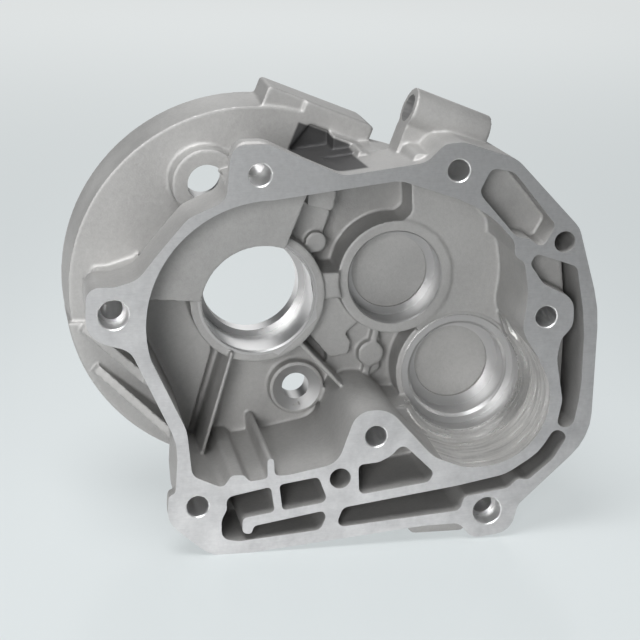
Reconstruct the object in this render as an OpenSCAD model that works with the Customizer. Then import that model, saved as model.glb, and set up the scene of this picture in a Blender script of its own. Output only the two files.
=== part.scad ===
// Scooter gearbox housing with drum brake backing plate, one die casting in aluminium.
// Millimetres. X runs across the mating face, Z up, Y away from the mating face
// towards the brake plate. The origin is the centre of the wheel axle bearing seat
// where its straight wall starts; every depth below is counted from the milled
// mating face.

/* [Case] */
// right edge of the flange, from the wheel axle
case_right = 137.4; // [130:0.1:145]
// top edge of the flange over the upper bolts, from the wheel axle
case_top = 72.5; // [70:0.1:76]
// low edge of the flange, under the wheel axle
case_low = 101.4; // [98:0.1:108]
// left edge of the flange at its sleeve hole, from the wheel axle
case_left = 74; // [71:0.1:78]
// depth from the mating face to the floor round the brake pivot
floor_depth = 55; // [45:0.5:65]
// thickness of the case floors
floor_t = 5; // [3.5:0.1:8]
// thickness of the case wall behind the flange rim
wall_t = 5; // [3.5:0.1:8]
// depth of the flange rim that holds the pockets
rim_depth = 37; // [30:0.5:42]
// radius of the clearance wall round the wheel axle
clearance_r = 50.2; // [49:0.1:51]
// depth of the floor round the layshaft bearing
shelf_depth = 38.6; // [38:0.1:40]

/* [Wheel axle bearing] */
// depth of the boss face that carries the wheel axle bearing
axle_face_depth = 34; // [32:0.1:36]
// outside diameter of the wheel axle boss
axle_boss_d = 57; // [55:0.5:59]
// diameter of the wheel axle bearing seat
axle_seat_d = 47; // [42:0.1:49]
// depth of the wheel axle bearing seat
axle_seat_l = 19.5; // [14:0.1:20]
// diameter of the bore through to the brake side
axle_bore_d = 41.4; // [34:0.1:42]
// end of the axle boss on the brake side, from the mating face
axle_boss_end = 61; // [60:0.5:64]
// depth of the raised pad beside the bearing
pad_depth = 22; // [18:0.5:26]
// diameter of the clearance cut in the raised pad
pad_bore_d = 50.8; // [50:0.1:53]

/* [Layshaft bearing] */
// layshaft axis, across
lay_x = 59.4; // [58:0.1:61]
// layshaft axis, up
lay_z = 5.5; // [4:0.1:7]
// depth of the layshaft boss face
lay_face_depth = 38; // [36:0.1:39]
// outside diameter of the layshaft boss
lay_boss_d = 49.6; // [47:0.1:51]
// diameter of the layshaft bearing seat
lay_seat_d = 40; // [35:0.1:42]
// depth of the layshaft bearing seat
lay_seat_l = 11; // [9:0.1:13]
// diameter of the cast hollow under the layshaft bearing
lay_relief_d = 33; // [28:0.1:34]

/* [Drive shaft bearing] */
// drive shaft axis, across
drive_x = 89.9; // [89:0.1:91]
// drive shaft axis, up
drive_z = -38.5; // [-39.5:0.1:-37.5]
// depth of the drive shaft boss face
drive_face_depth = 42; // [41:0.1:44]
// outside diameter of the drive shaft boss
drive_boss_d = 55; // [54:0.1:56]
// diameter of the case wall round the drive gear
drive_wall_d = 57; // [56.4:0.1:58]
// diameter of the turned wall above the bearing
drive_turned_d = 50; // [48:0.1:52]
// diameter of the drive shaft bearing seat
drive_seat_d = 42; // [37:0.1:44]
// depth of the drive shaft bearing seat
drive_seat_l = 11; // [9:0.1:13]
// diameter of the cast hollow under the drive shaft bearing
drive_relief_d = 33; // [29:0.1:36]

/* [Brake side] */
// diameter of the brake backing plate at its front edge
plate_d = 154; // [151:0.5:157]
// diameter of the backing plate rim at its open end
plate_rim_d = 157; // [155:0.5:160]
// depth of the front face of the backing plate
plate_depth = 52.5; // [51:0.5:53.5]
// depth of the thicker lower segment of the backing plate
low_face_depth = 50; // [48:0.5:52]
// thickness of the backing plate
plate_t = 5; // [4:0.1:7]
// depth of the open end of the backing plate rim
plate_end = 76.4; // [70:0.2:80]
// inside diameter of the drum recess
recess_d = 146; // [143:0.5:148]
// brake cam shaft hole diameter
cam_hole_d = 16; // [12:0.1:18]
// outside diameter of the cam shaft boss
cam_boss_d = 29; // [27:0.5:32]
// distance of the cam shaft and the shoe pivot from the axle
brake_r = 51; // [50:0.1:52]
// angle of the cam shaft from upright, towards the left
brake_angle = 23.5; // [22.5:0.1:24.5]
// front end of the cam shaft boss
cam_boss_front = 43; // [41:0.5:46]
// brake side end of the cam shaft boss
cam_boss_end = 62; // [61:0.5:66]
// shoe pivot hole diameter
pivot_hole_d = 11.8; // [9:0.1:13]
// outside diameter of the shoe pivot boss
pivot_boss_d = 24; // [22:0.5:26]
// top of the shoe pivot boss inside the case
pivot_top = 50; // [48:0.5:52]
// brake side end of the shoe pivot boss
pivot_end = 63; // [61:0.5:66]

/* [Cable stop] */
// outside diameter of the cable tube
tube_d = 17.6; // [16:0.1:19]
// bore of the cable tube
tube_bore_d = 11.5; // [8:0.1:13]
// length of the cable tube
tube_l = 34; // [28:0.5:38]
// depth of the cable tube axis from the mating face
tube_depth = 32; // [28:0.5:36]
// height of the cable tube axis above the axle, square to its run
tube_rise = 96; // [93:0.5:99]
// start of the cable tube along its run
tube_start = 27.8; // [26:0.2:30]

/* [Fixing holes] */
// diameter of the case bolt holes
bolt_d = 9; // [8:0.1:9.6]
// depth of the case bolt holes
bolt_l = 31; // [24:0.5:32]
// radius of the flange lobes round the bolt holes
lobe_r = 11.6; // [11:0.1:12.5]
// thickness of the flange where it overhangs the case
lobe_t = 7; // [5:0.5:10]
// length of the boss of the upper left bolt
top_boss_l = 21; // [16:0.5:26]
// diameter of the locating sleeve holes
dowel_d = 12; // [10:0.1:13]
// depth of the locating sleeve holes
dowel_l = 9; // [6:0.5:12]
// diameter of the two cored holes
cored_d = 9; // [7.5:0.1:9.5]
// depth of the long pockets in the flange
pocket_l = 31; // [24:0.5:32]

/* [Hidden] */
$fn = 64;
step = 0.01;
arc_steps = 6;
slide_angle = -21.2;
rim_lean = 1.5;
pad_edge = 69.2;
axle_lead = 0.8;
lay_lead = 0.6;
drive_lead = 1.3;

// axes on the mating face, across and up
top_left = [-5.6, 60.4];
top_right = [74.1, 60.4];
right_mid = [114.4, -2];
low_mid = [44.4, -51];
low_left = [-29.4, -77.8];
dowel_left = [-62.9, 5.6];
dowel_right = [93.8, -87.3];
cored_low = [29.8, -68.8];
cored_right = [120.2, 29.8];
lay = [lay_x, lay_z];
drive = [drive_x, drive_z];
cam = [-brake_r * sin(brake_angle), brake_r * cos(brake_angle)];
pivot = -cam;

shelf_back = shelf_depth + floor_t;
case_back = floor_depth + floor_t;
plate_back = plate_depth + plate_t;

// points on an arc about a centre
function arc(c, r, a0, a1, n) = [for (i = [0:n]) c + r * [cos(a0 + (a1 - a0) * i / n),
                                                         sin(a0 + (a1 - a0) * i / n)]];

// a polygon from corners given as across, up, radius
function unit(v) = v / norm(v);
function corner_arc(p, q, s, r) =
    let(a = unit(p - q), b = unit(s - q),
        half = acos(max(-1, min(1, a * b))) / 2)
    (r <= 0.05 || half > 88.5) ? [q] :
    let(want = r / tan(half),
        t = min(want, 0.48 * norm(p - q), 0.48 * norm(s - q)),
        rr = t * tan(half),
        m = q + unit(a + b) * rr / sin(half),
        f = atan2((q + a * t - m)[1], (q + a * t - m)[0]),
        g0 = atan2((q + b * t - m)[1], (q + b * t - m)[0]),
        d = g0 - f > 180 ? g0 - f - 360 : (g0 - f < -180 ? g0 - f + 360 : g0 - f),
        n = max(1, min(arc_steps, ceil(abs(d) / 14))))
    [for (i = [0:n]) m + rr * [cos(f + d * i / n), sin(f + d * i / n)]];
function rounded(c) = let(n = len(c))
    [for (i = [0:n - 1])
        let(p = c[(i + n - 1) % n], q = c[i], s = c[(i + 1) % n])
        each corner_arc([p[0], p[1]], [q[0], q[1]], [s[0], s[1]], q[2])];
module shape(c) polygon(rounded(c));

// the same corners moved in by a draft, for an outline listed clockwise
function turn(a, b) = a[0] * b[1] - a[1] * b[0];
function drawn_in(c, d) = let(n = len(c))
    [for (i = [0:n - 1])
        let(p = c[(i + n - 1) % n], q = c[i], s = c[(i + 1) % n],
            a = unit([q[0] - p[0], q[1] - p[1]]), b = unit([s[0] - q[0], s[1] - q[1]]),
            na = [a[1], -a[0]], nb = [b[1], -b[0]],
            m = [q[0], q[1]] + (na + nb) * d / (1 + na * nb))
        [m[0], m[1], q[2] <= 0.05 ? q[2] : (turn(a, b) < 0 ? max(0.3, q[2] - d) : q[2] + d)]];
// triangles that fill a clockwise outline, taken off corner by corner
function holds(p, a, b, c) =
    turn(b - a, p - a) <= 0 && turn(c - b, p - b) <= 0 && turn(a - c, p - c) <= 0;
function is_ear(p, o, k) = let(n = len(o), a = o[(k + n - 1) % n], b = o[k], c = o[(k + 1) % n])
    turn(p[b] - p[a], p[c] - p[b]) < -0.0001 &&
    len([for (q = o) if (q != a && q != b && q != c && holds(p[q], p[a], p[b], p[c])) 1]) == 0;
function next_ear(p, o, k) = k >= len(o) || is_ear(p, o, k) ? k % len(o) : next_ear(p, o, k + 1);
function filled(p, o, k) = let(n = len(o)) n == 3 ? [o] :
    let(e = next_ear(p, o, k % n))
    concat([[o[(e + n - 1) % n], o[e], o[(e + 1) % n]]],
           filled(p, [for (i = [0:n - 1]) if (i != e) o[i]], e + 1));

// a slab whose side walls lean in by a draft from its near to its far face
module drafted(c, d0, d1, lean) {
    near = rounded(c);
    far = rounded(drawn_in(c, lean));
    n = len(near);
    order = [for (i = [0:n - 1]) i];
    polyhedron(
        points = concat([for (p = near) [p[0], d0, p[1]]], [for (p = far) [p[0], d1, p[1]]]),
        faces = concat(filled(near, order, 0),
            [for (t = filled(far, order, 0)) [n + t[2], n + t[1], n + t[0]]],
            [for (i = [0:n - 1]) [i, n + i, n + (i + 1) % n, (i + 1) % n]]));
}

// a flat outline across and up becomes a slab between two depths
module slab(d0, d1) translate([0, d1, 0]) rotate([90, 0, 0]) linear_extrude(d1 - d0) children();
// a round bar along the depth at a place on the mating face
module bar(c, d, d0, d1)
    translate([c[0], d0, c[1]]) rotate([-90, 0, 0]) cylinder(d = d, h = d1 - d0);
module taper(c, da, db, d0, d1)
    translate([c[0], d0, c[1]]) rotate([-90, 0, 0]) cylinder(d1 = da, d2 = db, h = d1 - d0);
// the run of the cable tube and the top pad
module in_slide() rotate(slide_angle) children();

// outline of the flange rim
flange = [
    [0.5 - case_left, 17.2, 11.2], [-62.5, 16.9, 3], [-53.2, 19.6, 11], [-46.4, 28.6, 20],
    [-33.6, 44, 12], [-18.8, 50.4, 6], [-16.9, case_top - 0.1, 6], [-2.5, case_top, 8],
    [27.5, 59.4, 10], [60.5, 63.9, 9], [68.2, case_top - 1, 6], [76, case_top - 0.6, 8],
    [98, 64.8, 14], [case_right - 11.2, 35.6, 10], [case_right - 0.5, 1, 60],
    [case_right, -56.3, 26], [107.4, 16 - case_low, 6], [104.6, 3.8 - case_low, 9],
    [87.6, 1.7 - case_low, 7], [81.9, 9.1 - case_low, 5], [66, 8.8 - case_low, 20],
    [-22.5, -case_low, 18], [-42, -84.3, 14], [-41.3, -72.4, 2], [-38.5, -71.4, 2],
    [-37.5, -50.5, 24], [-56.4, -9.6, 8], [-case_left, -4.2, 11]];

// outline of the gear cavity
cavity = concat(
    [for (p = arc([0, 0], clearance_r, 90, 196, 22)) [p[0], p[1], 0]],
    [[-33.9, -44.5, 16], [-31.7, -64.3, 5], [-19, -70.2, 2.5], [-15.6, -64.9, 2],
     [-10.6, -64.9, 2], [-8, -68, 2], [-0.6, -67, 1], [-0.9, -58.4, 1.3], [1.8, -58.4, 1.3],
     [2.3, -66.1, 2], [8, -66, 8], [28.6, -62, 9],
     [low_mid[0] - 8.4, low_mid[1] + lobe_r, lobe_r],
     [low_mid[0] + 5.2, low_mid[1] + lobe_r, lobe_r],
     [69.4, -61.6, 14], [84, -67.4, 16], [93, -66.6, 0], [100, -50, 0], [108, -30, 0],
     [114.4, -23.2, 4], [104.4, -7.8, 12], [106.2, 8, 30], [103.6, 22, 5], [99.4, 24.3, 3],
     [99, 30.5, 6], [90, 40.3, 30], [78, 47.6, 30], [52, 56.4, 3], [48, 56.6, 3]]);

// outline of the case wall behind the rim
module case_outline() {
    shape([[-55.2, -8, 20], [-55.2, 9, 30], [-42.5, 36.5, 30], [-22, 50.6, 30], [-4, 55.2, 30],
           [48, 61.6, 10], [58, 59, 20], [86, 48.6, 30], [98.2, 39, 20], [104.2, 28, 10],
           [110, 11, 20], [109.4, -7, 15], [117.6, -24, 10], [118, -50, 0], [104, -66, 0],
           [86, -72.6, 10], [67, -67.6, 10], [58, -60.5, 10], [44.4, -62.5, 10], [31, -65.3, 8],
           [24, -68, 10], [-3, -70.6, 10], [-28.4, -70, 8], [-35.6, -63.5, 6], [-36.8, -50, 15]]);
    translate(drive) circle(d = drive_wall_d + 2 * wall_t);
}
module cavity_outline() {
    shape(cavity);
    translate(drive) circle(d = drive_wall_d);
}

// outlines of the weight saving pockets in the flange
module pocket_a() shape([[83.2, 51.8, 3], [87.6, 61.2, 3], [97, 59.4, 6], [116, 36.8, 3],
    [110.8, 27.2, 3], [105.5, 31.4, 3], [99.4, 32.6, 5], [84.6, 49.2, 3]]);
module pocket_b() shape([[106, 21, 2], [108.4, 25.2, 2], [case_right - 11.2, 19.2, 3],
    [case_right - 6.2, -5, 60], [case_right - 5.6, -35, 50], [case_right - 8.2, -51.4, 3.4],
    [case_right - 15.5, -50.8, 3], [case_right - 13.5, -39, 8], [120.1, -20, 15],
    [121.6, -11.5, 6], [126.4, -6.5, 9], [125.8, 5.5, 8], [112.4, 12, 8]]);
module pocket_c() shape([[28.2, 10.6 - case_low, 2.5], [81.8, 15 - case_low, 3],
    [83.6, -80.2, 2], [102.6, -77.3, 3], [106.8, -73, 3], [111, -74.4, 3],
    [case_right - 15.9, -65.2, 8], [case_right - 9.8, -54.6, 3], [case_right - 16, -51.2, 3],
    [115, -62, 20], [101, -71, 16], [80, -75, 10], [31.4, -82, 3]]);
module pocket_d() shape([[37.3, -63.2, 2], [47, -62.4, 8], [56.2, -55, 3], [70, -68.6, 2.5],
    [67.6, -72.6, 2], [38, -76.6, 2.5]]);
module pocket_e() shape([[4.2, -70.1, 1.5], [20.7, -67.6, 2], [25, -78.9, 2.5], [5.8, -81.7, 1.5]]);
module pocket_f() shape([[-17.6, -74.4, 3], [0.8, -70.8, 1.5], [2.6, -82.1, 1.5], [-10.8, -84.1, 2],
    [-10.8, -91, 2], [-7, -91.4, 1.2], [-6, -87.9, 1.5], [23.2, -82.9, 1.5], [24.2, -86, 1],
    [22, 10 - case_low, 3], [-12, 7 - case_low, 4], [-19.4, 8.4 - case_low, 4], [-19.6, -84.6, 6],
    [-17.4, -80, 3]]);

// the flange rim, open at the mating face
module rim() drafted(flange, 0, rim_depth, rim_lean);

// the case behind the rim
module case_body() {
    slab(rim_depth - 1, case_back) case_outline();
    // thicker lower segment of the plate, out to the rim
    slab(plate_depth, case_back) intersection() {
        circle(d = recess_d + 4);
        shape([[-60, -44, 0], [60, -44, 0], [60, -80, 0], [-60, -80, 0]]);
    }
    taper(dowel_right, 2 * lobe_r - 2, 2 * lobe_r - 8, rim_depth - 2, 46);
}

// space behind the raised pad for the brake lever, open at the upper left
module lever_space() slab(pad_depth + floor_t, plate_depth) difference() {
    shape([[-18, 9, 2], [-110, 12, 0], [-110, 110, 0], [-16.5, 110, 0], [-16.5, 54, 4], [-8, 46.5, 4],
           [7, 45, 3], [2, 26, 3]]);
    circle(d = axle_boss_d + 9);
}
// the flange is thin where it overhangs the case at the upper left
module lobe_back() slab(lobe_t, plate_depth)
    shape([[-40, 56.5, 0], [-40, 110, 0], [26.5, 110, 0], [26.5, 61, 0], [14, 59.5, 0],
           [-4, 57, 10], [-16, 54.5, 2]]);
// the lower left lobe is as thin beside its hole
module low_lobe_back() slab(lobe_t, rim_depth + 1)
    shape([[-60, -92, 0], [-60, -60, 0], [-38.2, -60, 0], [-37.2, -70, 1], [-36.2, -82, 4],
           [-33, -92, 0]]);

// arm that carries the left sleeve hole back to the plate
module left_arm() {
    drafted([[1.2 - case_left, 16.4, 10.4], [-62, 16.1, 4], [-52.5, 19, 6], [-46, 27, 5], [-40, 12, 4],
             [-40, -8, 4], [-52, -12, 6], [-61, -7.6, 6], [0.9 - case_left, -3.6, 9.6]],
            2, plate_depth + 1, 6);
}
// short boss of the upper left bolt, open behind for the brake lever
module top_boss() {
    taper(top_left, 2 * lobe_r - 4, 2 * lobe_r - 6, lobe_t - 2, top_boss_l);
    slab(1.4, lobe_t)
        shape([[-17.2, 50, 0], [-16.7, case_top + 1.1, 6.5], [-4, case_top + 1.1, 8], [12, 66, 2],
               [12, 50, 0]]);
}
// rib from the cam shaft boss to the case top, behind the upper left bolt
module cam_rib() slab(cam_boss_front + 4, plate_depth + 1)
    shape([[cam[0], cam[1] + 12, 0], [cam[0] + 4, cam[1] + 13.6, 0], [8, 52, 0], [8, 44, 0],
           [cam[0], cam[1], 0]]);

// the backing plate with its rim and drum recess
module backing_plate() difference() {
    union() {
        taper([0, 0], plate_d, plate_rim_d, plate_depth, plate_end);
        top_pad();
        low_segment();
    }
    bar([0, 0], recess_d, plate_back, plate_end + 1);
}

// the plate is thicker below, with a straight rim
module low_segment() slab(low_face_depth, plate_end) intersection() {
    circle(d = plate_rim_d + 0.3);
    shape([[-95, -13.5, 0], [-68, -13.5, 1], [-40, -40, 10], [60, -40, 0], [60, -95, 0], [-95, -95, 0]]);
}

// flat pad on the rim, square to the cable run
module top_pad() {
    slab(plate_depth + 1, plate_end) in_slide()
        shape([[-24.6, 60, 0], [-24.6, 81.8, 1.5], [22.4, 81.8, 2], [22.4, 60, 0]]);
    slab(plate_depth, plate_end - 1) in_slide()
        shape([[-7.5, 60, 0], [-7.5, 81.3, 0.6], [23.8, 81.3, 1.5], [23.8, 60, 0]]);
}

// bridge between the case top and the backing plate, open on its left as a deep pocket
module bridge() difference() {
    slab(30, plate_end) in_slide()
        shape([[15, 56, 0], [15, 73, 0.8], [31, 73, 1], [46, 71, 4], [50, 62, 0], [50, 56, 0]]);
    bar([0, 0], recess_d, plate_back, plate_end + 1);
}
module pocket_step() slab(44, plate_depth + 1)
    shape([[32, 50, 0], [32, 66, 0.6], [44, 61.4, 0], [38, 48, 0]]);
module deep_pocket() difference() {
    slab(lobe_t + 1, plate_depth + 2) difference() {
        in_slide() shape([[-8, 52, 0], [-6.6, 60, 3], [-2.6, 73, 1], [15, 73, 1], [15, 52, 0]]);
        case_outline();
    }
    pocket_step();
}

// gusset between the case wall and the backing plate
module gusset(x0, z0, x1, z1, t, top)
    translate([x1, 0, z1]) rotate([0, -atan2(z0 - z1, x0 - x1), 0]) translate([0, 0, -t / 2])
        linear_extrude(t) polygon([[-8, top], [0, top], [norm([x0 - x1, z0 - z1]), low_face_depth - 1.5],
            [norm([x0 - x1, z0 - z1]), plate_depth + 1], [-8, plate_depth + 1]]);
module gussets() {
    gusset(-71.5, -15, -48, -32, 4, 30);
    gusset(-66.5, -33.2, -36, -58, 4, 30);
}

// cable tube and the neck that carries it
module cable_tube() {
    translate([0, tube_depth, 0]) rotate([0, -slide_angle, 0])
        translate([tube_start, 0, tube_rise]) rotate([0, 90, 0]) cylinder(d = tube_d, h = tube_l);
    slab(tube_depth - 6.5, tube_depth + 6.5) in_slide()
        shape([[tube_start + 1, 60, 0], [tube_start, 88, 1], [tube_start + 2, tube_rise, 0],
               [tube_start + tube_l - 2, tube_rise, 0], [tube_start + tube_l - 2, 74, 0]]);
    slab(6, tube_depth + 6.5) in_slide()
        shape([[tube_start + 2, 62, 0], [tube_start + 2, 83, 3], [tube_start + tube_l - 3, 90, 4],
               [tube_start + tube_l - 1, 72, 0]]);
}
module cable_bore() translate([0, tube_depth, 0]) rotate([0, -slide_angle, 0])
    translate([tube_start - 1, 0, tube_rise]) rotate([0, 90, 0])
        cylinder(d = tube_bore_d, h = tube_l + 2);

// hollow from the brake side behind the shelf
module back_hollow() slab(shelf_back, plate_end + 1) difference() {
    intersection() {
        shape([[60, -20, 3], [67.5, 30, 3], [69, 52, 3], [84, 52, 0], [120, 20, 0], [112, -22, 3],
               [74, -12, 3]]);
        case_inner();
    }
    translate(lay) circle(d = lay_seat_d + 9);
    translate(drive) circle(d = drive_boss_d);
    // the rim runs on across the hollow
    difference() {
        circle(d = plate_rim_d + 1);
        circle(d = recess_d - 6);
    }
}
module case_inner() shape([[60, -30, 0], [60, 52, 3], [86, 43.6, 20], [96, 34, 10], [105.4, 10, 20],
    [104.8, -8, 10], [112, -21, 3]]);

// solids that stand inside the cavity
module inside() {
    // cam shaft boss and the rib that joins it to the case top
    bar(cam, cam_boss_d, cam_boss_front, cam_boss_end);
    cam_rib();
    // wheel axle boss
    bar([0, 0], axle_boss_d, axle_face_depth, axle_boss_end);
    // raised pad beside the axle bearing, kept inside the clearance wall
    difference() {
        slab(pad_depth, case_back) intersection() {
            cavity_outline();
            shape([[0, 0, 0], [cos(pad_edge) * 70, sin(pad_edge) * 70, 0], [-60, 70, 0],
                   [-70, 6.3, 0], [-20, 2.2, 0]]);
        }
        lever_space();
    }
    // thin ledge along the pad
    slab(30, case_back) intersection() {
        cavity_outline();
        shape([[cos(pad_edge) * 20 - 5, sin(pad_edge) * 20, 0],
               [cos(pad_edge) * 70 - 5, sin(pad_edge) * 70, 0],
               [cos(pad_edge) * 70 + 2.2, sin(pad_edge) * 70, 0],
               [cos(pad_edge) * 20 + 2.4, sin(pad_edge) * 20, 0]]);
    }
    // layshaft boss and the shelf to its right
    bar(lay, lay_boss_d, lay_face_depth, case_back - 4);
    slab(shelf_depth, case_back) difference() {
        intersection() {
            cavity_outline();
            shape([[60, -12, 0], [60, 29, 2], [65.8, 33, 4], [65, 46, 4], [62, 50, 0], [62, 66, 0],
                   [112, 66, 0], [116, -25, 0], [90, -30, 0], [72, -24, 0], [70, -17.5, 1]]);
        }
        translate(drive) circle(d = drive_boss_d - 1);
    }
    // web between the axle and layshaft bosses
    slab(36, case_back) difference() {
        shape([[20, -4.5, 0], [27.5, -2.6, 3], [36, -2.2, 2], [44, -8, 0],
               [44, 20, 0], [37, 9.2, 2], [27, 9.2, 2], [20, 16, 0]]);
        translate(lay) circle(d = lay_boss_d - 1);
    }
    // drive shaft boss
    bar(drive, drive_boss_d, drive_face_depth, case_back);
    drive_ledge();
    // platform below the web
    slab(44, case_back) shape([[24, -20, 2], [33.5, -31.5, 2.5], [41.5, -30, 1.5], [42.5, -24.5, 2],
        [39.6, -20.5, 2], [46, -15, 0], [40, 0, 0], [24, 0, 0]]);
    // recess floor between the bosses
    slab(50, case_back) shape([[33, -30, 0], [40, -16, 0], [56.5, -18, 2], [57.5, -40, 3],
        [50, -44, 0], [34, -40, 0]]);
    // ejector pads
    bar([52.1, -31.3], 11.4, 46.5, case_back);
    bar([25.6, 21], 9, 41.5, case_back);
    slab(47, case_back) shape([[48.2, -42, 0], [51.6, -42, 0], [56.2, -19, 0], [53, -19, 0]]);
    slab(44, case_back) intersection() {
        cavity_outline();
        shape([[2, 20, 0], [8, 50, 0], [32, 56, 0], [31.5, 32, 2], [29, 25, 3], [26, 16, 2],
               [14, 14, 0]]);
    }
    // tab under the top wall
    slab(37, case_back) intersection() {
        cavity_outline();
        shape([[20.6, 38, 1], [31.5, 35.4, 1.5], [33, 44, 0], [34, 60, 0], [22, 60, 0]]);
    }
    // terrace along the left wall
    slab(47.5, case_back) intersection() {
        cavity_outline();
        shape([[-60, 6, 0], [-22, 0, 0], [-17.5, -27, 2], [-27, -62, 2], [-32, -66, 0],
               [-39, -45, 0], [-60, -10, 0]]);
    }
    // thin ribs from the axle boss over the floor
    slab(32, case_back)
        shape([[-11.3, -22, 0], [-24.3, -69, 0.5], [-22.8, -69.4, 0.5], [-9.7, -22, 0]]);
    slab(34.4, case_back)
        shape([[14, -18, 0], [36.8, -42.4, 0.5], [38, -41.3, 0.5], [16, -17, 0]]);
    // shoe pivot boss
    bar(pivot, pivot_boss_d, pivot_top, pivot_end);
    // lobe of the lower middle bolt
    slab(0, case_back) translate(low_mid) circle(r = lobe_r - 0.6);
}

// ledge of the wall round the drive gear
module drive_ledge() intersection() {
    difference() {
        bar(drive, drive_wall_d + 8, 28, case_back);
        taper(drive, drive_wall_d - 1, drive_turned_d, 28 - step, 34);
        bar(drive, drive_turned_d, 34 - step, case_back + 1);
    }
    slab(20, case_back) {
        intersection() {
            cavity_outline();
            shape([[drive_x - 40, drive_z - 11, 0], [drive_x, drive_z - 11, 0],
                   [drive_x + 22.3, drive_z + 9.7, 0], [drive_x + 15.9, drive_z + 26.8, 0],
                   [drive_x + 45, drive_z + 26.8, 0], [drive_x + 45, drive_z - 45, 0],
                   [drive_x - 40, drive_z - 45, 0]]);
        }
        difference() {
            translate(drive) circle(d = drive_wall_d + 2);
            shape([[drive_x - 40, drive_z - 12, 0], [drive_x - 40, drive_z + 50, 0],
                   [drive_x + 50, drive_z + 50, 0], [drive_x + 50, drive_z + 14, 0],
                   [drive_x, drive_z - 12, 0]]);
        }
    }
}

// turned seats and drilled holes
module machining() {
    bar([0, 0], axle_seat_d, axle_face_depth - step, axle_face_depth + axle_seat_l);
    taper([0, 0], axle_seat_d + 2 * axle_lead, axle_seat_d, axle_face_depth - step,
        axle_face_depth + axle_lead);
    bar([0, 0], axle_bore_d, axle_face_depth, axle_boss_end + 1);
    bar([0, 0], pad_bore_d, pad_depth - 1, axle_face_depth);
    bar(lay, lay_seat_d, lay_face_depth - step, lay_face_depth + lay_seat_l);
    taper(lay, lay_seat_d + 2 * lay_lead, lay_seat_d, lay_face_depth - step, lay_face_depth + lay_lead);
    bar(lay, lay_relief_d, lay_face_depth, lay_face_depth + lay_seat_l + 1.4);
    bar(drive, drive_seat_d, drive_face_depth - step, drive_face_depth + drive_seat_l);
    taper(drive, drive_seat_d + 2 * drive_lead, drive_seat_d, drive_face_depth - step,
        drive_face_depth + drive_lead);
    bar(drive, drive_relief_d, drive_face_depth, drive_face_depth + drive_seat_l + 1.6);
    bar(cam, cam_hole_d, cam_boss_front - 1, cam_boss_end + 1);
    bar(pivot, pivot_hole_d, pivot_top - 1, pivot_end + 1);
    taper(pivot, pivot_boss_d - 3, pivot_hole_d, pivot_top - step, pivot_top + 3);
    for (c = [top_left, top_right, right_mid, low_mid, low_left]) {
        bar(c, bolt_d, -1, c == top_left ? top_boss_l - 3 : bolt_l);
        taper(c, bolt_d + 0.8, bolt_d, -step, 0.4);
    }
    for (c = [dowel_left, dowel_right]) {
        bar(c, dowel_d, -1, dowel_l);
        taper(c, dowel_d + 0.8, dowel_d, -step, 0.4);
        bar(c, bolt_d, 0, bolt_l);
    }
    for (c = [cored_low, cored_right]) bar(c, cored_d, -1, pocket_l - 6);
}

module body() difference() {
    union() {
        difference() {
            union() {
                difference() {
                    union() {
                        rim();
                        case_body();
                    }
                    lever_space();
                    lobe_back();
                    low_lobe_back();
                }
                backing_plate();
                slab(plate_depth + 1, case_back) case_outline();
                bridge();
                pocket_step();
                gussets();
                cable_tube();
                left_arm();
                top_boss();
                foot();
            }
            slab(-1, floor_depth) cavity_outline();
            slab(-1, 15) pocket_a();
            slab(-1, 13) pocket_b();
            slab(10, pocket_l) pocket_b_deep();
            slab(-1, pocket_l) {
                pocket_c();
                pocket_d();
                pocket_e();
                pocket_f();
            }
            deep_pocket();
            cable_bore();
        }
        inside();
    }
    back_hollow();
    machining();
}
module pocket_b_deep() shape([[case_right - 13.4, 18.5, 2],
    [case_right - 11.2, 19.2, 2], [case_right - 6.2, -5, 60], [case_right - 5.6, -35, 50],
    [case_right - 8.2, -51.4, 3.4], [case_right - 11.8, -51, 2], [case_right - 10, -36, 30],
    [case_right - 10.4, -5, 30]]);

// cast foot under the lower edge, behind the milled face
module foot() slab(8, 46)
    shape([[60, -85, 0], [62, 1.8 - case_low, 4], [87, 1.8 - case_low, 4], [90, -85, 0]]);

module gearbox_housing() color([0.66, 0.66, 0.65]) 
    translate([0, -axle_face_depth - axle_lead, 0]) body();

gearbox_housing();
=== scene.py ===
import math

import bmesh
import bpy
import numpy as np
from mathutils import Matrix, Vector


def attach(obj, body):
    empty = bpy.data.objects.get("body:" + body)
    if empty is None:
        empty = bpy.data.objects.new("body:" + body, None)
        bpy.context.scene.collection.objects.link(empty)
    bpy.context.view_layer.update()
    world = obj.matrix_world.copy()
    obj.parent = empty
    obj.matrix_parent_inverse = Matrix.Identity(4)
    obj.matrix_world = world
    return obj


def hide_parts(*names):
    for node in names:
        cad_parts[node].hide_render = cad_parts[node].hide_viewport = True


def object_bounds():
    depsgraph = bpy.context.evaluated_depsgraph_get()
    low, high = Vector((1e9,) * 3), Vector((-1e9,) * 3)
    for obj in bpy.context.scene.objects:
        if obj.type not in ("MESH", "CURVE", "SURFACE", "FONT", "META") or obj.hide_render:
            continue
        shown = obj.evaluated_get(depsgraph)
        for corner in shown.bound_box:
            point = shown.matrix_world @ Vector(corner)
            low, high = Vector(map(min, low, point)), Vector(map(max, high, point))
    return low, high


# The housing is made as the real one is: a rough casting with rounded edges comes first, with
# stock on the faces that get milled and its bores still shut, and the machining then cuts it.
# Lengths are in millimetres and depths are counted from the milled mating face.

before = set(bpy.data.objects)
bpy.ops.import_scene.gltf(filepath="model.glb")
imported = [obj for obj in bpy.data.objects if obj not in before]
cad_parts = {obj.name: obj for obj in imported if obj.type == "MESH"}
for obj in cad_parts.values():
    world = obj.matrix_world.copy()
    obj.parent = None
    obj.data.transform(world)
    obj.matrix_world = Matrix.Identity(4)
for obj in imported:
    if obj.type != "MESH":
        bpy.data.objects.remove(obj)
cad_box = [list(corner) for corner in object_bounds()]

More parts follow.
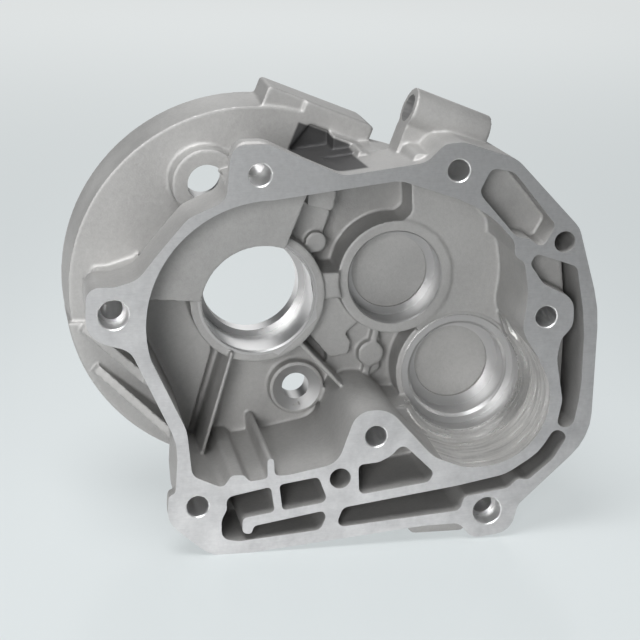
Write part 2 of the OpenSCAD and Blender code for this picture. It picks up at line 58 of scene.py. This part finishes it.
MM = 0.001
MATING_FACE = -34.8     # where the mating face lies along Y in the part's frame
MILLING_STOCK = 1.6     # what the mill takes off the casting's face
BORE_STOCK = 0.7        # what a tool takes off all round in a bore
CASTING_VOXEL = 0.58    # the grid that rounds the casting's edges
CASTING_FACES = 170000  # triangles kept in the rough casting
FLOOR_HEIGHT = -99.9    # the ground under the flange's lower edge
GROUND = (0.82, 0.87, 0.89)     # the pale light from all round
NEAR_GROUND = (0.655, 0.70, 0.71)   # the ground's own glow, near the housing and far behind it
FAR_GROUND = (0.97, 1.0, 1.0)

CAMERA_AIM = (19.5, MATING_FACE, 0.44)
CAMERA_ANGLES = (-11.8, 18.0, 1.509)    # azimuth, elevation and roll in degrees
CAMERA_DISTANCE = 0.72      # in metres
SENSOR, FOCAL_PIXELS, PHOTO_PIXELS = 36.0, 1800, 640

WHEEL_AXLE = (0.0, 0.0)
LAYSHAFT = (59.4, 5.5)
DRIVE_SHAFT = (89.9, -38.5)
BRAKE_CAM = (-51.0 * math.sin(math.radians(23.5)), 51.0 * math.cos(math.radians(23.5)))
SHOE_PIVOT = (-BRAKE_CAM[0], -BRAKE_CAM[1])
CASE_BOLTS = [((-5.6, 60.4), 18.0), ((74.1, 60.4), 31.0), ((114.4, -2.0), 31.0),
              ((44.4, -51.0), 31.0), ((-29.4, -77.8), 31.0)]
SLEEVES = [(-62.9, 5.6), (93.8, -87.3)]

# the cable stop's tube runs down to the right, 21.2 degrees off the level
SLIDE = math.radians(-21.2)
TUBE_RUN = (math.cos(SLIDE), math.sin(SLIDE))
TUBE_RISE = (-math.sin(SLIDE), math.cos(SLIDE))
TUBE_DEPTH, TUBE_HEIGHT, TUBE_START, TUBE_LENGTH = 32.0, 96.0, 27.8, 34.0
TUBE_BORE = 11.5

# machined bores: name, centre, diameter at the near and far end, near and far depth
SEATS = [
    ("wheel axle seat", WHEEL_AXLE, 47.0, 47.0, 34.0, 53.5),
    ("wheel axle bore", WHEEL_AXLE, 41.4, 41.4, 34.0, 61.0),
    ("layshaft seat", LAYSHAFT, 40.0, 40.0, 38.0, 49.0),
    ("layshaft relief", LAYSHAFT, 33.0, 33.0, 38.0, 50.4),
    ("drive shaft seat", DRIVE_SHAFT, 42.0, 42.0, 42.0, 53.0),
    ("drive shaft relief", DRIVE_SHAFT, 33.0, 33.0, 42.0, 54.6),
    ("brake cam bore", BRAKE_CAM, 16.0, 16.0, 43.0, 62.0),
    ("shoe pivot bore", SHOE_PIVOT, 11.8, 11.8, 50.0, 63.0),
]
# turned wall of the drive gear's room, which has metal round only a part of it
DRIVE_WALL = ("drive gear wall", DRIVE_SHAFT, 50.0, 50.0, 34.0, 42.05)
AXLE_FACE = ("wheel axle boss face", WHEEL_AXLE, 50.6, 50.6, 33.0, 34.05)
CHAMFERS = [
    ("wheel axle mouth", WHEEL_AXLE, 48.6, 47.0, 34.0, 34.8),
    ("layshaft mouth", LAYSHAFT, 41.2, 40.0, 38.0, 38.6),
    ("drive shaft mouth", DRIVE_SHAFT, 44.6, 42.0, 42.0, 43.3),
    ("shoe pivot cone", SHOE_PIVOT, 21.0, 11.8, 50.0, 53.0),
]
# stock for the cone and the turned wall: centre, radius, near and far depth, sides
PLUGS = [(SHOE_PIVOT, 11.0, 50.0, 53.4, 64), (DRIVE_SHAFT, 24.6, 34.6, 42.4, 96)]
HOLES = (
    [("case bolt", at, 9.0, 9.0, 0.0, deep) for at, deep in CASE_BOLTS]
    + [("sleeve", at, 12.0, 12.0, 0.0, 9.0) for at in SLEEVES]
    + [("sleeve bolt", at, 9.0, 9.0, 0.0, 31.0) for at in SLEEVES]
)
HOLE_MOUTHS = [("hole mouth", at, d + 0.9, d, 0.0, 0.45)
               for _, at, d, _, near, far in HOLES if far > 9.5 and at not in SLEEVES]
HOLE_MOUTHS += [("sleeve mouth", at, 12.9, 12.0, 0.0, 0.45) for at in SLEEVES]
# bores that get the paler copy of the turned finish: their lighter colour is painted light for
# the light these seats and holes catch
PAINTED_LIGHT_BORES = ("wheel axle seat", "wheel axle bore", "wheel axle mouth", "case bolt",
                "sleeve", "sleeve bolt", "hole mouth", "sleeve mouth")


def at_depth(centre, depth):
    """A place on an axis square to the mating face, in metres in the part's frame."""
    return Vector((centre[0], MATING_FACE + depth, centre[1])) * MM


def add_rod(shell, start, end, near_radius, far_radius, sides):
    """Adds a closed round bar or cone between two places."""
    run = end - start
    turned = run.to_track_quat("Z", "Y").to_matrix().to_4x4()
    placed = Matrix.Translation((start + end) / 2) @ turned
    bmesh.ops.create_cone(shell, cap_ends=True, segments=sides, radius1=near_radius * MM,
                          radius2=far_radius * MM, depth=run.length, matrix=placed)


def new_piece(name, shell):
    """An object at the origin with the shell as its mesh."""
    mesh = bpy.data.meshes.new(name)
    shell.to_mesh(mesh)
    shell.free()
    piece = bpy.data.objects.new(name, mesh)
    bpy.context.scene.collection.objects.link(piece)
    return piece


def settle(piece):
    """Puts a piece's modifiers into its mesh."""
    view = bpy.context.evaluated_depsgraph_get()
    mesh = bpy.data.meshes.new_from_object(piece.evaluated_get(view), depsgraph=view)
    old, piece.data = piece.data, mesh
    piece.modifiers.clear()
    bpy.data.meshes.remove(old)


def tube_end(along):
    """A place on the cable stop tube's axis, counted from its upper left end."""
    across = TUBE_START + along
    return Vector((across * TUBE_RUN[0] + TUBE_HEIGHT * TUBE_RISE[0], MATING_FACE + TUBE_DEPTH,
                   across * TUBE_RUN[1] + TUBE_HEIGHT * TUBE_RISE[1])) * MM


def rough_casting(node):
    """The casting before machining, from a merged copy of the solid."""
    blank = bmesh.new()
    blank.from_mesh(node.data)
    bmesh.ops.remove_doubles(blank, verts=blank.verts, dist=1e-6)
    for vertex in blank.verts:
        if abs(vertex.co.y - MATING_FACE * MM) < 1e-5:
            vertex.co.y -= MILLING_STOCK * MM
    for _, at, near_d, far_d, near, far in SEATS:
        add_rod(blank, at_depth(at, near), at_depth(at, far),
                near_d / 2 + BORE_STOCK, far_d / 2 + BORE_STOCK, 96)
    for at, radius, near, far, sides in PLUGS:
        add_rod(blank, at_depth(at, near), at_depth(at, far), radius, radius, sides)
    for _, at, near_d, far_d, near, far in HOLES:
        add_rod(blank, at_depth(at, near - MILLING_STOCK), at_depth(at, far + 0.6),
                near_d / 2 + BORE_STOCK, far_d / 2 + BORE_STOCK, 48)
    add_rod(blank, tube_end(0.0), tube_end(TUBE_LENGTH), TUBE_BORE / 2 + BORE_STOCK,
            TUBE_BORE / 2 + BORE_STOCK, 48)
    casting = new_piece("housing_casting", blank)
    skin = casting.modifiers.new("skin", "REMESH")
    skin.mode, skin.voxel_size, skin.use_smooth_shade = "VOXEL", CASTING_VOXEL * MM, True
    rounding = casting.modifiers.new("rounding", "SMOOTH")
    rounding.factor, rounding.iterations = 0.5, 5
    settle(casting)
    lighter = casting.modifiers.new("lighter", "DECIMATE")
    lighter.ratio = min(1.0, CASTING_FACES / (2 * len(casting.data.polygons)))
    settle(casting)
    return casting


def machine(casting):
    """Mills the mating face, turns the seats and drills the holes."""
    tools = bmesh.new()
    for _, at, near_d, far_d, near, far in SEATS + CHAMFERS + [DRIVE_WALL, AXLE_FACE]:
        back = 1.0 if far_d == near_d and far >= 60.0 else 0.0
        front = 0.02 if near_d == far_d else 0.0
        add_rod(tools, at_depth(at, near - front), at_depth(at, far + back),
                near_d / 2, far_d / 2, 128)
    for _, at, near_d, far_d, near, far in HOLES + HOLE_MOUTHS:
        add_rod(tools, at_depth(at, near - 0.02), at_depth(at, far), near_d / 2, far_d / 2, 48)
    add_rod(tools, tube_end(-1.0), tube_end(TUBE_LENGTH + 1.0), TUBE_BORE / 2, TUBE_BORE / 2, 48)
    bmesh.ops.create_cube(tools, size=1.0, matrix=Matrix.Translation(
        (0.03, (MATING_FACE - 10) * MM, 0)) @ Matrix.Diagonal((0.4, 0.02, 0.4, 1)))
    cutters = new_piece("machining_tools", tools)
    cut = casting.modifiers.new("machining", "BOOLEAN")
    cut.operation, cut.solver, cut.object, cut.use_self = "DIFFERENCE", "EXACT", cutters, True
    settle(casting)
    bpy.data.objects.remove(cutters)
    for vertex in casting.data.vertices:    # rounding lifts the back by about a micrometre
        vertex.co.y = min(vertex.co.y, cad_box[1][1])


casting = rough_casting(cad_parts["gearbox_housing"])
machine(casting)
print("casting faces", len(casting.data.polygons))


class Signal:
    """A socket inside a finish that can be added, multiplied and so on."""

    def __init__(self, finish, socket):
        self.finish, self.socket = finish, socket

    def _sum(self, operation, *values):
        return self.finish.node("ShaderNodeMath", {"operation": operation},
                                dict(enumerate(values)))

    def __add__(self, other): return self._sum("ADD", self, other)
    def __radd__(self, other): return self._sum("ADD", other, self)
    def __sub__(self, other): return self._sum("SUBTRACT", self, other)
    def __rsub__(self, other): return self._sum("SUBTRACT", other, self)
    def __mul__(self, other): return self._sum("MULTIPLY", self, other)
    def __rmul__(self, other): return self._sum("MULTIPLY", other, self)
    def __truediv__(self, other): return self._sum("DIVIDE", self, other)


class Finish:
    """A material under construction."""

    def __init__(self, name):
        self.material = bpy.data.materials.new(name)
        self.material.use_nodes = True
        self.tree = self.material.node_tree
        self.tree.nodes.clear()

    def node(self, kind, settings=None, sockets=None, out=0):
        made = self.tree.nodes.new(kind)
        for key, value in (settings or {}).items():
            setattr(made, key, value)
        for key, value in (sockets or {}).items():
            if isinstance(value, Signal):
                self.tree.links.new(value.socket, made.inputs[key])
            else:
                made.inputs[key].default_value = value
        return Signal(self, made.outputs[out]) if made.outputs else None

    def place(self, stretch=(1, 1, 1)):
        coordinates = self.node("ShaderNodeTexCoord", out="Object")
        return self.node("ShaderNodeMapping", {}, {"Vector": coordinates, "Scale": stretch})

    def noise(self, scale, detail=2.0, stretch=(1, 1, 1), rough=0.5):
        return self.node("ShaderNodeTexNoise", {}, {
            "Vector": self.place(stretch), "Scale": scale, "Detail": detail, "Roughness": rough})

    def between(self, amount, low, high):
        return self.node("ShaderNodeMapRange", {}, {
            "Value": amount, "From Min": 0.3, "From Max": 0.7, "To Min": low, "To Max": high})

    def ease(self, amount, start, end, low, high):
        return self.node("ShaderNodeMapRange", {"interpolation_type": "SMOOTHSTEP"}, {
            "Value": amount, "From Min": start, "From Max": end, "To Min": low, "To Max": high})

    def axis(self, number):
        """The place along X, Y or Z, by its number."""
        return self.node("ShaderNodeSeparateXYZ", {}, {0: self.place()}, out=number)

    def within(self, amount, low, high, edge):
        """1 between low and high, easing to 0 over the edge's width outside them."""
        return (self.ease(amount, low - edge, low, 0.0, 1.0)
                * self.ease(amount, high, high + edge, 1.0, 0.0))

    def tint(self, amount, dark, light):
        dark, light = (shade if isinstance(shade, Signal) else (*shade, 1)
                       for shade in (dark, light))
        return self.node("ShaderNodeMix", {"data_type": "RGBA"}, {
            0: amount, 6: dark, 7: light}, out=2)

    def bump(self, height, distance, strength=1.0):
        return self.node("ShaderNodeBump", {}, {
            "Height": height, "Distance": distance, "Strength": strength})

    def metal(self, colour, roughness, metallic, normal=None):
        sockets = {"Base Color": colour, "Roughness": roughness, "Metallic": metallic}
        if normal is not None:
            sockets["Normal"] = normal
        shader = self.node("ShaderNodeBsdfPrincipled", {}, sockets)
        self.node("ShaderNodeOutputMaterial", {}, {"Surface": shader})
        return self.material


def cast_skin():
    """As-cast aluminium: matt neutral grey with a sandy grain and faint cloudy patches. The
    pocket behind the top edge has painted shade, darkened almost to black in the colour because
    the pocket is too shallow to fall into shade."""
    skin = Finish("cast_skin")
    grain = skin.noise(1500.0, 3.0)
    coarse = skin.noise(520.0, 2.0)
    clouds = skin.noise(28.0, 3.0)
    shade = skin.between(clouds * 0.6 + grain * 0.2 + coarse * 0.2, 0.0, 1.0)
    colour = skin.tint(shade, (0.35, 0.347, 0.342), (0.50, 0.496, 0.488))
    across, along, up = (skin.axis(number) for number in range(3))
    run = across * TUBE_RUN[0] + up * TUBE_RUN[1]
    rise = across * TUBE_RISE[0] + up * TUBE_RISE[1]
    # painted shade: this mask picks out the pocket behind the top edge, which stands in for the
    # depth the pocket lacks
    painted_pocket_shade = (skin.within(run, -0.0068, 0.0140, 0.0012) * skin.within(rise, 0.053, 0.0716, 0.0010)
              * skin.within(along, -0.0250, 0.0200, 0.0040))
    # the pocket's near-black colour is painted shade, not a stain
    return skin.metal(skin.tint(painted_pocket_shade * 0.88, colour, (0.03, 0.03, 0.032)),
                      skin.between(clouds, 0.58, 0.70), 0.70,
                      skin.bump(grain * 0.6 + coarse * 0.6, 0.00009))


def milled_face():
    """The milled mating face: cool grey, with darker stains and fine tool marks across it."""
    face = Finish("milled_face")
    marks = face.noise(300.0, 2.0, stretch=(1.0, 1.0, 9.0))
    speckle = face.noise(520.0, 3.0)
    clouds = face.noise(75.0, 5.0, rough=0.62)
    shade = face.between(clouds * 0.65 + marks * 0.15 + speckle * 0.2, 0.0, 1.0)
    return face.metal(face.tint(shade, (0.50, 0.504, 0.512), (0.74, 0.745, 0.75)),
                      face.between(clouds, 0.43, 0.33), 0.92,
                      face.bump(marks, 0.00002))


def turned_bore(name, dark, light, smooth, rough):
    """Turned seats and drilled holes: satin, with rings left by the tool."""
    bore = Finish(name)
    rings = bore.noise(140.0, 2.0, stretch=(0.02, 14.0, 0.02))
    return bore.metal(bore.tint(rings, (dark,) * 3, (light,) * 3),
                      bore.between(rings, smooth, rough), 0.95, bore.bump(rings, 0.00004))


def drive_wall_painted_sheen():
    """The turned wall round the drive gear, with streaks that follow the cut; its paler colour
    and streaks are partly painted highlight.
    """
    wall = Finish("drive_wall_painted_sheen")
    cut_streaks_and_sheen = wall.noise(60.0, 3.0, stretch=(0.9, 7.0, 0.9))
    fine = wall.noise(900.0, 2.0)
    # partly painted highlight: the streaks follow the cut, and their pale colour stands in for
    # highlight streaks
    return wall.metal(wall.tint(wall.between(cut_streaks_and_sheen * 0.8 + fine * 0.2, 0.0, 1.0),
                                (0.50, 0.497, 0.49), (0.90, 0.895, 0.88)),
                      wall.between(cut_streaks_and_sheen, 0.44, 0.24), 0.9,
                      wall.bump(cut_streaks_and_sheen, 0.00028))


# the order of the finishes in the casting's slots
CAST, MILLED, TURNED, ROUND_THE_DRIVE, PAINTED_LIGHT_LOOK, SATIN = range(6)


def dress_casting(casting):
    """Gives the milled faces and the turned bores their own finishes, by where they lie."""
    mesh = casting.data
    mesh.materials.clear()
    # painted_light_bore is turned_seat in a paler colour, painted light on the seats and holes
    # that look lit
    for finish in (cast_skin(), milled_face(), turned_bore("turned_seat", 0.42, 0.64, 0.38, 0.48),
                   drive_wall_painted_sheen(), turned_bore("painted_light_bore", 0.76, 0.94, 0.38, 0.48),
                   turned_bore("satin_cone", 0.46, 0.56, 0.58, 0.66)):
        mesh.materials.append(finish)
    count = len(mesh.polygons)
    middle, facing = np.empty(count * 3), np.empty(count * 3)
    mesh.polygons.foreach_get("center", middle)
    mesh.polygons.foreach_get("normal", facing)
    middle, facing = middle.reshape(-1, 3) / MM, facing.reshape(-1, 3)
    depth = middle[:, 1] - MATING_FACE
    kind = np.full(count, CAST)
    turned = [seat for seat in SEATS if "relief" not in seat[0]]
    turned += CHAMFERS + [DRIVE_WALL, AXLE_FACE] + HOLES + HOLE_MOUTHS
    for name, at, near_d, far_d, near, far in turned:
        look = (PAINTED_LIGHT_LOOK if name in PAINTED_LIGHT_BORES
                else SATIN if name == "shoe pivot cone" else TURNED)
        reach = np.hypot(middle[:, 0] - at[0], middle[:, 2] - at[1])
        share = np.clip((depth - near) / (far - near), 0, 1)
        wall = near_d / 2 + (far_d - near_d) / 2 * share
        kind[(np.abs(reach - wall) < 0.12) & (depth > near - 0.1) & (depth < far + 0.1)
             & (np.abs(facing[:, 1]) < 0.95)] = look
        kind[(reach < far_d / 2) & (np.abs(depth - far) < 0.05) & (facing[:, 1] < -0.95)] = TURNED
    kind[(np.abs(depth) < 0.03) & (facing[:, 1] < -0.9)] = MILLED
    from_drive = np.hypot(middle[:, 0] - DRIVE_SHAFT[0], middle[:, 2] - DRIVE_SHAFT[1])
    kind[(from_drive > 25.3) & (from_drive < 29.4) & (depth > 0.4) & (depth < 35)
         & (np.abs(facing[:, 1]) < 0.93)] = ROUND_THE_DRIVE
    along = ((middle[:, 0] * TUBE_RISE[0] + middle[:, 2] * TUBE_RISE[1]) - TUBE_HEIGHT)
    kind[(np.abs(np.hypot(along, depth - TUBE_DEPTH) - TUBE_BORE / 2) < 0.1)
         & (middle[:, 2] > 60)] = TURNED
    mesh.polygons.foreach_set("material_index", kind)
    mesh.shade_smooth()
    mesh.set_sharp_from_angle(angle=math.radians(32))
    weighted = casting.modifiers.new("flat faces stay flat", "WEIGHTED_NORMAL")
    weighted.keep_sharp, weighted.weight = True, 60
    settle(casting)


dress_casting(casting)
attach(casting, "root")
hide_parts("gearbox_housing")


def pale_floor():
    """A pale glossy table top, seen as an even pale ground. For glossy rays it glows with painted
    reflection light, in front and out of view, that greys off to the right and far away."""
    finish = Finish("pale_floor")
    across, along = finish.axis(0), finish.axis(1)
    right = finish.ease(across, 0.03, 0.20, 1.0, 0.42)
    away = finish.ease(along, -0.66, -0.08, 0.42, 1.0)
    # painted reflection light: a darker patch in front of the housing, in what the metal mirrors
    beside, before = across - 0.155, along + 0.51
    painted_dark_patch = finish.ease(beside * beside + before * before, 0.003, 0.050, 0.06, 1.0)
    painted_reflection_glow = finish.tint(right * away * painted_dark_patch, (0.0, 0.0, 0.0), (1.0, 1.0, 1.0))
    top = finish.node("ShaderNodeBsdfPrincipled", {}, {
        "Base Color": (0.74, 0.78, 0.79, 1), "Roughness": 0.22, "Specular IOR Level": 0.45})
    seen = finish.tint(finish.ease(along, 0.2, 1.8, 0.0, 1.0), NEAR_GROUND, FAR_GROUND)
    ways = "ShaderNodeLightPath"
    # glossy rays see the floor's painted reflection glow, camera rays its ground colour
    for ray, share, colour in (("Is Glossy Ray", 0.85, painted_reflection_glow),
                               ("Is Camera Ray", 0.72, seen)):
        glow = finish.node("ShaderNodeEmission", {}, {"Color": colour, "Strength": 1.0})
        top = finish.node("ShaderNodeMixShader", {}, {
            0: finish.node(ways, out=ray) * share, 1: top, 2: glow})
    finish.node("ShaderNodeOutputMaterial", {}, {"Surface": top})
    ground = bmesh.new()
    bmesh.ops.create_grid(ground, x_segments=1, y_segments=1, size=6.0,
                          matrix=Matrix.Translation((0, 0, FLOOR_HEIGHT * MM)))
    floor = new_piece("studio_floor", ground)
    floor.data.materials.append(finish.material)


LAMP_AIM = Vector((0.02, 0.0, 0.0))


def lamp(name, size, power, place):
    """A round soft lamp that faces the housing."""
    light = bpy.data.lights.new(name, "AREA")
    light.shape, light.size, light.energy = "DISK", size, power
    holder = bpy.data.objects.new(name, light)
    holder.location = place
    holder.rotation_euler = (LAMP_AIM - Vector(place)).to_track_quat("-Z", "Y").to_euler()
    bpy.context.scene.collection.objects.link(holder)


def studio():
    """Lamps above, in front and behind, with a faint pale light from all round."""
    world = bpy.data.worlds.new("studio")
    world.use_nodes = True
    sky = world.node_tree.nodes["Background"]
    sky.inputs["Color"].default_value = (*GROUND, 1)
    sky.inputs["Strength"].default_value = 0.085
    bpy.context.scene.world = world
    bpy.context.scene.view_settings.view_transform = "Standard"
    lamp("overhead softbox", 0.7, 15.0, (-0.28, -0.32, 1.06))
    lamp("front window", 0.5, 13.5, (-0.55, -1.35, 0.36))
    lamp("back panel", 1.0, 3.2, (0.3, 1.3, 0.6))


def photo_camera():
    """A long lens from the left and above, as in the photograph."""
    azimuth, elevation, roll = (math.radians(angle) for angle in CAMERA_ANGLES)
    ahead = Vector((-math.sin(azimuth) * math.cos(elevation),
                    math.cos(azimuth) * math.cos(elevation), -math.sin(elevation)))
    level = Vector((math.cos(azimuth), math.sin(azimuth), 0))
    upright = level.cross(ahead)
    right = math.cos(roll) * level + math.sin(roll) * upright
    up = math.cos(roll) * upright - math.sin(roll) * level
    eye = Vector(CAMERA_AIM) * MM - ahead * CAMERA_DISTANCE
    camera = bpy.data.objects.new("photo_camera", bpy.data.cameras.new("photo_camera"))
    camera.matrix_world = Matrix((
        (right.x, up.x, -ahead.x, eye.x), (right.y, up.y, -ahead.y, eye.y),
        (right.z, up.z, -ahead.z, eye.z), (0, 0, 0, 1)))
    camera.data.sensor_width, camera.data.lens = SENSOR, SENSOR * FOCAL_PIXELS / PHOTO_PIXELS
    bpy.context.scene.collection.objects.link(camera)
    bpy.context.scene.camera = camera


pale_floor()
studio()
photo_camera()
